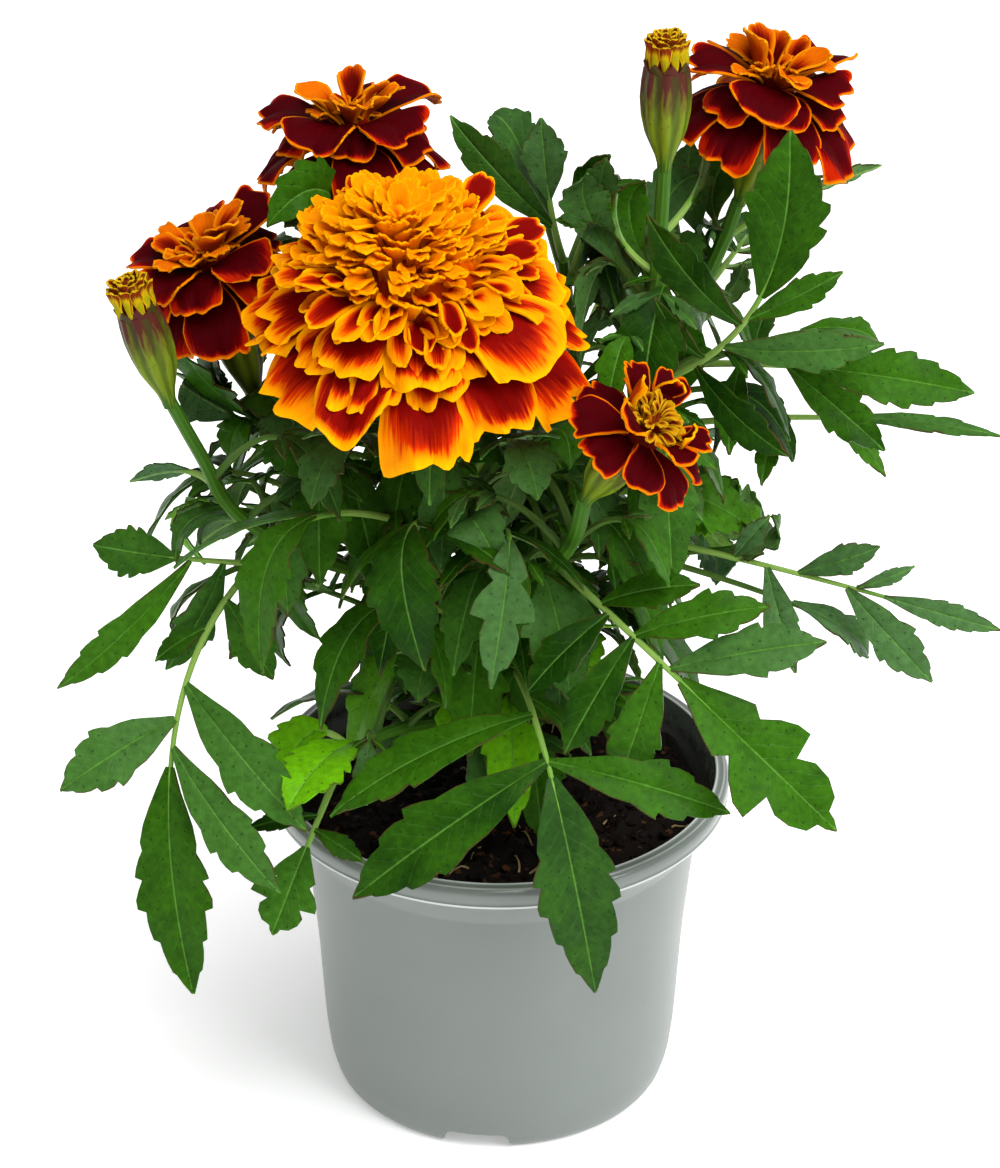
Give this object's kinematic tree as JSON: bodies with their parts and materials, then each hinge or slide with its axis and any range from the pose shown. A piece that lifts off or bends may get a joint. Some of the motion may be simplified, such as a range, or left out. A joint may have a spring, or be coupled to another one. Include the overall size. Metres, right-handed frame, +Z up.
{
  "type": "potted french marigold",
  "caption": "Flowering marigold plant with feathery toothed leaves, crested double blooms and closed buds, growing in compost in a small round plastic nursery pot.",
  "frame": {"origin": "on the ground under the middle of the whole plant; the pot's own axis stands at x = -7.5 mm, y = 0", "axes": "+Z up along the pot's axis; the viewer of the picture stands at -Y, with +X to their right"},
  "size_m": [0.2111, 0.1365, 0.2644],
  "materials": {
    "pot_plastic": "satin grey-green moulded plastic, a little translucent, with a glossier rim",
    "compost": "moist dark crumbly peat with fibres",
    "leaf_green": "soft living leaf and stem, slightly glossy",
    "orange_petals": "velvety orange petals with deep red centres",
    "maroon_petals": "velvety maroon petals with thin orange edges",
    "bud_petals": "folded yellow petals with red-brown tips"
  },
  "bodies": {
    "root": {"pot": "pot_plastic", "soil": "compost", "main_stem": "leaf_green", "shoot_left": "leaf_green", "shoot_left_top": "leaf_green", "shoot_right": "leaf_green", "shoot_small": "leaf_green", "shoot_low_left": "leaf_green", "shoot_back_left": "leaf_green", "shoot_back_right": "leaf_green", "bloom_large": "orange_petals", "bloom_left_top": "maroon_petals", "bloom_left": "maroon_petals", "bloom_right": "maroon_petals", "bloom_small": "maroon_petals", "bud_left": "bud_petals", "bud_right": "bud_petals"}
  },
  "joints": []
}
